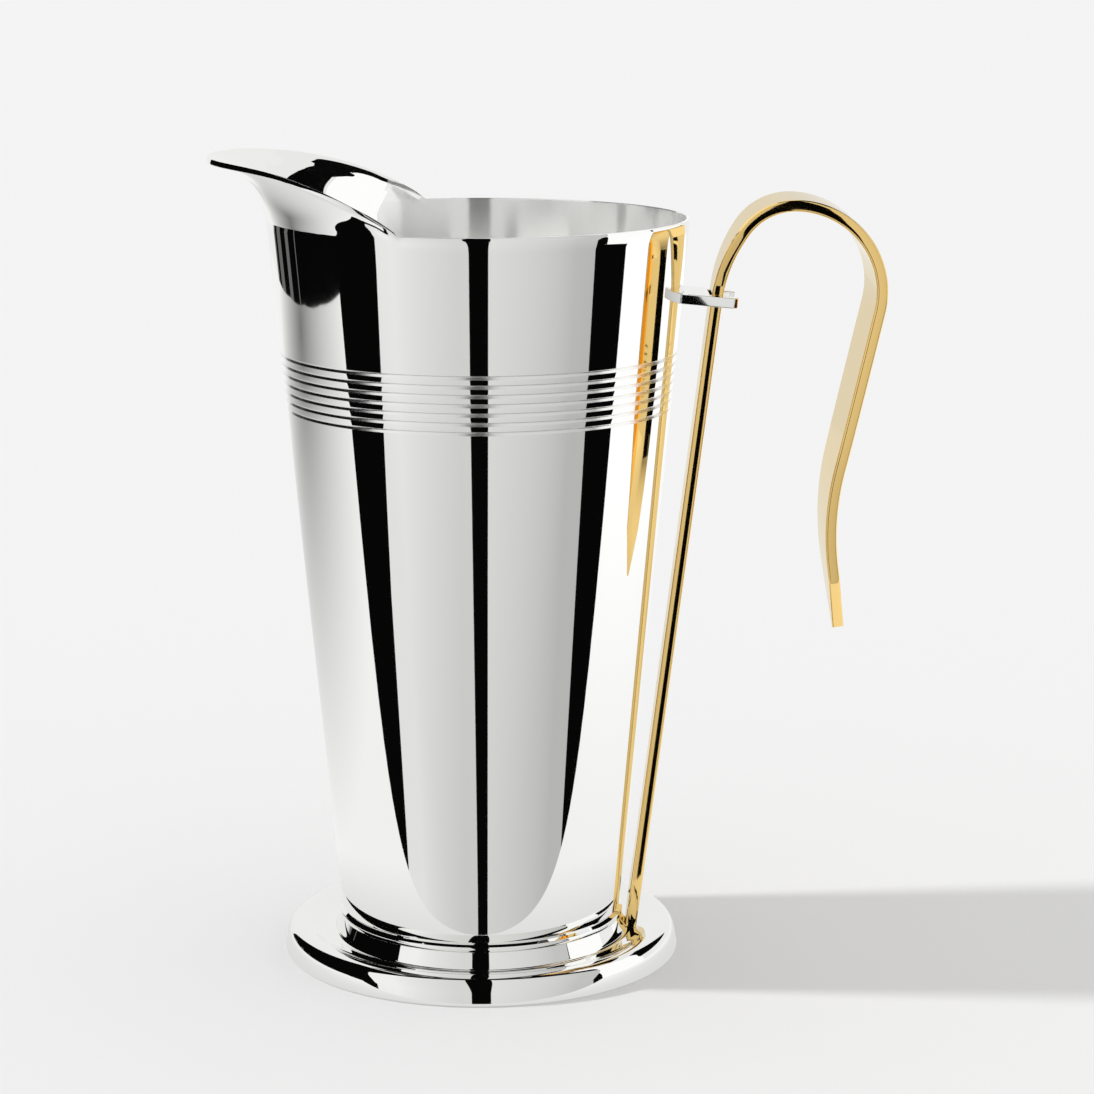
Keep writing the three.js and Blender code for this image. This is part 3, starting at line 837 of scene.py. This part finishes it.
def bracket_fork(mirror):
    """Fork plate square to the wall: saddle end at the wall, two tines past the strap."""
    height = RIM_HEIGHT - BRACKET_DROP
    lean = math.atan(WALL_SLOPE)
    saddle = wall_radius(height) / math.cos(lean)
    side = BRACKET_WIDTH / 2
    slot_side = SLOT_WIDTH / 2
    outline = []
    for index in range(SADDLE_STEPS + 1):
        across = side * (1 - 2 * index / SADDLE_STEPS)
        outline.append((math.sqrt(saddle ** 2 - across ** 2) - saddle + SADDLE_GAP, across))
    outline += [
        (SLOT_END - TINE_CHAMFER, -side),
        (SLOT_END, -side + TINE_CHAMFER),
        (SLOT_END, -slot_side),
        (SLOT_START, -slot_side),
        (SLOT_START, slot_side),
        (SLOT_END, slot_side),
        (SLOT_END, side - TINE_CHAMFER),
        (SLOT_END - TINE_CHAMFER, side),
    ]
    piece = start_piece("bracket_fork")
    base = -BRACKET_THICKNESS / 2 * MM
    draw_outline([(x * MM, y * MM, base) for x, y in outline])
    bpy.ops.mesh.edge_face_add()
    bpy.ops.mesh.extrude_region_move(TRANSFORM_OT_translate={"value": (0, 0, BRACKET_THICKNESS * MM)})
    bpy.ops.mesh.select_all(action="SELECT")
    bpy.ops.mesh.normals_make_consistent(inside=False)
    bpy.ops.transform.rotate(value=-lean, orient_axis="Y", center_override=(0, 0, 0))
    bpy.ops.transform.translate(value=(wall_radius(height) * MM, 0, height * MM))
    bpy.ops.object.mode_set(mode="OBJECT")
    soften = piece.modifiers.new("soft_edges", "BEVEL")
    soften.width = BRACKET_EDGE * MM
    soften.segments = BRACKET_EDGE_STEPS
    soften.limit_method = "ANGLE"
    soften.angle_limit = math.radians(BRACKET_SMOOTH)
    bpy.ops.object.modifier_apply(modifier=soften.name)
    return finish_piece(piece, ("handle_bracket",), (mirror,), BRACKET_SMOOTH)


def matt(name, hex_colour):
    """Matt pale paper, which takes the light and the shadow."""
    material, tree = new_material(name)
    shader = add_node(tree, "ShaderNodeBsdfDiffuse", inputs=[("Color", linear(hex_colour))])
    add_node(tree, "ShaderNodeOutputMaterial", [(shader, "BSDF", "Surface")])
    return material


def even_glow(name, strength):
    """A card that looks the same all over."""
    material, tree = new_material(name)
    shader = add_node(tree, "ShaderNodeEmission", inputs=[("Strength", strength)])
    add_node(tree, "ShaderNodeOutputMaterial", [(shader, "Emission", "Surface")])
    return material


def fading_glow(name, across, levels):
    """A sheet with painted light fading from left to right, and painted shade a little below the table."""
    material, tree = new_material(name)
    place = add_node(tree, "ShaderNodeTexCoord")
    parts = add_node(tree, "ShaderNodeSeparateXYZ", [(place, "Object", "Vector")])
    fade = add_node(tree, "ShaderNodeMapRange", [(parts, "X", "Value")],
                    [("From Min", across[0]), ("From Max", across[1]),
                     ("To Min", levels[0]), ("To Max", levels[1])])
    lower = add_node(tree, "ShaderNodeMapRange", [(parts, "Z", "Value")],
                     [("From Min", LOW_SHADE_DEPTH), ("From Max", 0.0),
                      ("To Min", LOW_SHADE), ("To Max", 1.0)])
    both = add_node(tree, "ShaderNodeMath", [(fade, "Result", 0), (lower, "Result", 1)],
                    operation="MULTIPLY")
    shader = add_node(tree, "ShaderNodeEmission", [(both, "Value", "Strength")])
    add_node(tree, "ShaderNodeOutputMaterial", [(shader, "Emission", "Surface")])
    return material


def table_painted_light():
    """The table in reflections, painted light: brighter to the right, painted shade by the foot and at the
    back left.
    """
    material, tree = new_material("table_painted_light_and_shade")
    place = add_node(tree, "ShaderNodeTexCoord")
    parts = add_node(tree, "ShaderNodeSeparateXYZ", [(place, "Object", "Vector")])
    bright = add_node(tree, "ShaderNodeMapRange", [(parts, "X", "Value")],
                      [("From Min", TABLE_ACROSS[0]), ("From Max", TABLE_ACROSS[1]),
                       ("To Min", TABLE_LEVELS[0]), ("To Max", TABLE_LEVELS[1])])
    # Painted shade: a soft dark patch over the back left of the table
    shade_patch_middle = (-SHADE_PATCH_PLACE[0] / SHADE_PATCH_SIZE[0], -SHADE_PATCH_PLACE[1] / SHADE_PATCH_SIZE[1], 0.0)
    shade_patch_scale = (1 / SHADE_PATCH_SIZE[0], 1 / SHADE_PATCH_SIZE[1], 0.0)
    round_shade_patch = add_node(tree, "ShaderNodeMapping", [(place, "Object", "Vector")],
                           [("Location", shade_patch_middle), ("Scale", shade_patch_scale)])
    shade_patch = add_node(tree, "ShaderNodeTexGradient", [(round_shade_patch, "Vector", "Vector")],
                     gradient_type="SPHERICAL")
    shade = add_node(tree, "ShaderNodeMapRange", [(shade_patch, "Fac", "Value")],
                     [("To Min", SHADE_PATCH_LEVELS[0]), ("To Max", SHADE_PATCH_LEVELS[1])])
    both = add_node(tree, "ShaderNodeMath", [(bright, "Result", 0), (shade, "Result", 1)],
                    operation="MULTIPLY")
    # Painted contact shadow: the table darkens round the foot
    contact_scale = (1 / CONTACT_SHADOW_RADIUS, 1 / CONTACT_SHADOW_RADIUS, 0.0)
    near_foot = add_node(tree, "ShaderNodeMapping", [(place, "Object", "Vector")],
                         [("Scale", contact_scale)])
    ring = add_node(tree, "ShaderNodeTexGradient", [(near_foot, "Vector", "Vector")],
                    gradient_type="SPHERICAL")
    contact_shadow = add_node(tree, "ShaderNodeMapRange", [(ring, "Fac", "Value")],
                       [("From Max", 1 - FOOT_RADIUS * MM / CONTACT_SHADOW_RADIUS), ("To Min", 1.0),
                        ("To Max", CONTACT_SHADOW_LEVEL)])
    level = add_node(tree, "ShaderNodeMath", [(both, "Value", 0), (contact_shadow, "Result", 1)],
                     operation="MULTIPLY")
    shader = add_node(tree, "ShaderNodeEmission", [(level, "Value", "Strength")])
    add_node(tree, "ShaderNodeOutputMaterial", [(shader, "Emission", "Surface")])
    return material


def card(name, corners, material):
    """A flat sheet of the studio through corners in metres, which only shows in reflections."""
    bpy.ops.object.select_all(action="DESELECT")
    bpy.ops.mesh.primitive_circle_add(vertices=len(corners), fill_type="NGON")
    sheet = bpy.context.object
    sheet.name = name
    for vertex, corner in zip(sheet.data.vertices, corners):
        vertex.co = corner
    sheet.data.materials.append(material)
    sheet.visible_camera = False
    sheet.visible_diffuse = False
    sheet.visible_shadow = False
    return sheet


def rectangle(low, high):
    """The four corners between a low and a high one."""
    return (low, (high[0], low[1]), high, (low[0], high[1]))


def facing_front(y, outline):
    """An outline of (x, z) set up in an upright plane that faces the front."""
    return [(x, y, z) for x, z in outline]


def facing_side(x, outline):
    """An outline of (y, z) set up in an upright plane that faces a side."""
    return [(x, y, z) for y, z in outline]


def lying(z, outline):
    """An outline of (x, y) laid at a height."""
    return [(x, y, z) for x, y in outline]


def toward(distance, directions):
    """Corners at a distance from the scoop, by (azimuth from the front, elevation) in degrees."""
    corners = []
    for azimuth, elevation in directions:
        turn, rise = math.radians(azimuth), math.radians(elevation)
        way = Vector((math.cos(rise) * math.sin(turn), -math.cos(rise) * math.cos(turn), math.sin(rise)))
        corners.append(Vector(SCOOP) + distance * way)
    return corners


def table_and_sheets(black):
    """The floor in view, the table in reflections and the two front sheets with the dark behind them."""
    paper = matt("pale_paper", FLOOR_COLOUR)
    floor = card("floor_in_view", lying(FLOOR_HEIGHT, rectangle(*FLOOR_CORNERS)), paper)
    floor.visible_camera = True
    floor.visible_diffuse = True
    floor.visible_shadow = True
    floor.visible_glossy = False
    card("table_top", lying(TABLE_HEIGHT, TABLE_OUTLINE), table_painted_light())
    left_sheet = fading_glow("left_sheet", LEFT_SHEET_ACROSS, LEFT_SHEET_LEVELS)
    right_sheet = fading_glow("right_sheet", RIGHT_SHEET_ACROSS, RIGHT_SHEET_LEVELS)
    card("left_sheet_low", facing_front(FRONT, LEFT_SHEET_OUTLINE), left_sheet)
    card("right_sheet_low", facing_front(FRONT, RIGHT_SHEET_OUTLINE), right_sheet)
    card("left_sheet_high", LEFT_SHEET_HIGH, left_sheet)
    card("right_sheet_high", RIGHT_SHEET_HIGH, right_sheet)
    card("dark_behind_sheets", facing_front(BEHIND_FRONT, rectangle(*DARK_FRONT_CORNERS)), black)
    card("dark_above_sheets", DARK_ABOVE_SHEETS, black)


def surroundings(black, white):
    """Ceiling, studio floor and the two sides: dark with stands at the left, a white card at the right."""
    shaded = even_glow("ceiling_in_shade", CEILING_GLOW)
    dim = even_glow("stand_in_shade", STAND_GLOW)
    card("ceiling", lying(CEILING, rectangle(*CEILING_CORNERS)), shaded)
    card("studio_floor", lying(STUDIO_FLOOR, rectangle(*STUDIO_FLOOR_CORNERS)), black)
    card("left_dark", facing_side(LEFT_WALL, rectangle(*LEFT_WALL_CORNERS)), black)
    for place, width in STANDS:
        stand = rectangle((place, STAND_LOW), (place + width, STAND_HIGH))
        card("left_stand", facing_side(LEFT_STANDS, stand), dim)
    card("right_dark_low", facing_side(RIGHT_CARD, rectangle(*RIGHT_DARK_LOW_CORNERS)), black)
    card("right_dark_front", facing_side(RIGHT_DARK_FRONT, rectangle(*RIGHT_DARK_FRONT_CORNERS)), black)
    card("right_card", facing_side(RIGHT_CARD, RIGHT_CARD_OUTLINE), white)
    card("right_dark_back", facing_side(RIGHT_DARK_BACK, RIGHT_BACK_OUTLINE), black)


def scoop_cards(black, white):
    """Flags, sky and a small reflector that the polished scoop mirrors."""
    card("spout_flag_low", toward(FLAG_DISTANCE, FLAG_LOW_VIEW), black)
    card("spout_flag_high", toward(FLAG_DISTANCE, FLAG_HIGH_VIEW), black)
    card("spout_sky", toward(SKY_DISTANCE, SKY_VIEW), even_glow("pale_card", SKY_GLOW))
    card("spout_reflector", facing_side(REFLECTOR, rectangle(*REFLECTOR_CORNERS)), white)


def key_lamp():
    """One soft sun from the left, which throws the shadow to the right."""
    lamp = bpy.data.lights.new("key_from_left", "SUN")
    lamp.energy = KEY_STRENGTH
    lamp.angle = KEY_SIZE
    key = bpy.data.objects.new("key_from_left", lamp)
    key.rotation_euler = (0.0, KEY_HEIGHT - math.pi / 2, 0.0)
    key.visible_glossy = False
    bpy.context.scene.collection.objects.link(key)


def pale_world():
    """Even light from all round, and a pale background in view and in reflections."""
    world = bpy.data.worlds.new("pale_studio")
    world.use_nodes = True
    tree = world.node_tree
    tree.nodes.clear()
    path = add_node(tree, "ShaderNodeLightPath")
    mirrored = add_node(tree, "ShaderNodeMath",
                        [(path, "Is Glossy Ray", 0), (path, "Is Transmission Ray", 1)],
                        operation="MAXIMUM")
    seen = add_node(tree, "ShaderNodeMath", [(path, "Is Camera Ray", 0), (mirrored, "Value", 1)],
                    operation="MAXIMUM")
    ambient = add_node(tree, "ShaderNodeBackground",
                       inputs=[("Color", linear("#ffffff")), ("Strength", AMBIENT)])
    pale_sky = add_node(tree, "ShaderNodeBackground",
                        inputs=[("Color", linear(BACKGROUND)), ("Strength", 1.0)])
    mix = add_node(tree, "ShaderNodeMixShader",
                   [(seen, "Value", "Fac"), (ambient, "Background", 1), (pale_sky, "Background", 2)])
    add_node(tree, "ShaderNodeOutputWorld", [(mix, "Shader", "Surface")])
    bpy.context.scene.world = world


def studio():
    """A pale table in a dark studio, with the sheets and cards that the polished silver mirrors."""
    # Painted shade: near-black cards stand where the studio lies dark
    black = even_glow("dark_card_painted_shade", BLACK_GLOW)
    white = even_glow("white_card", WHITE_GLOW)
    table_and_sheets(black)
    surroundings(black, white)
    scoop_cards(black, white)
    key_lamp()
    pale_world()


def photo_camera():
    """The camera at the photograph's place and angle."""
    lens = bpy.data.cameras.new("photo_camera")
    lens.lens = CAMERA_LENS
    lens.sensor_width = CAMERA_SENSOR
    camera = bpy.data.objects.new("photo_camera", lens)
    camera.location = CAMERA_PLACE
    camera.rotation_euler = (math.pi / 2 - CAMERA_PITCH, 0.0, CAMERA_YAW)
    bpy.context.scene.collection.objects.link(camera)
    bpy.context.scene.camera = camera


def fasteners(steel):
    """The dowel, the washer and the screw keep their CAD shape and get a finish."""
    for name in ("bracket_pin", "handle_washer", "handle_screw"):
        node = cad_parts[name]
        node.data.materials.clear()
        node.data.materials.append(steel)


photo_camera()
studio()
mirror = mirror_silver_plate()
satin = satin_silver_inside()
body_shell(mirror, satin, turned_silver_groove())
foot_shell(mirror)
disc("inside_floor", "body_floor", WALL_BASE_RADIUS - WALL_THICKNESS - FLOOR_GAP, WALL_BASE_HEIGHT,
     WALL_BASE_HEIGHT + FLOOR_THICKNESS, satin, FLOOR_EDGE)
disc("closing_plate", "base_plate", PLATE_RADIUS, 0.0, PLATE_THICKNESS, satin, PLATE_EDGE)
handle_strap(polished_gold_plate())
bracket_fork(mirror)
fasteners(bright_steel())
bpy.context.scene.view_settings.view_transform = "Standard"
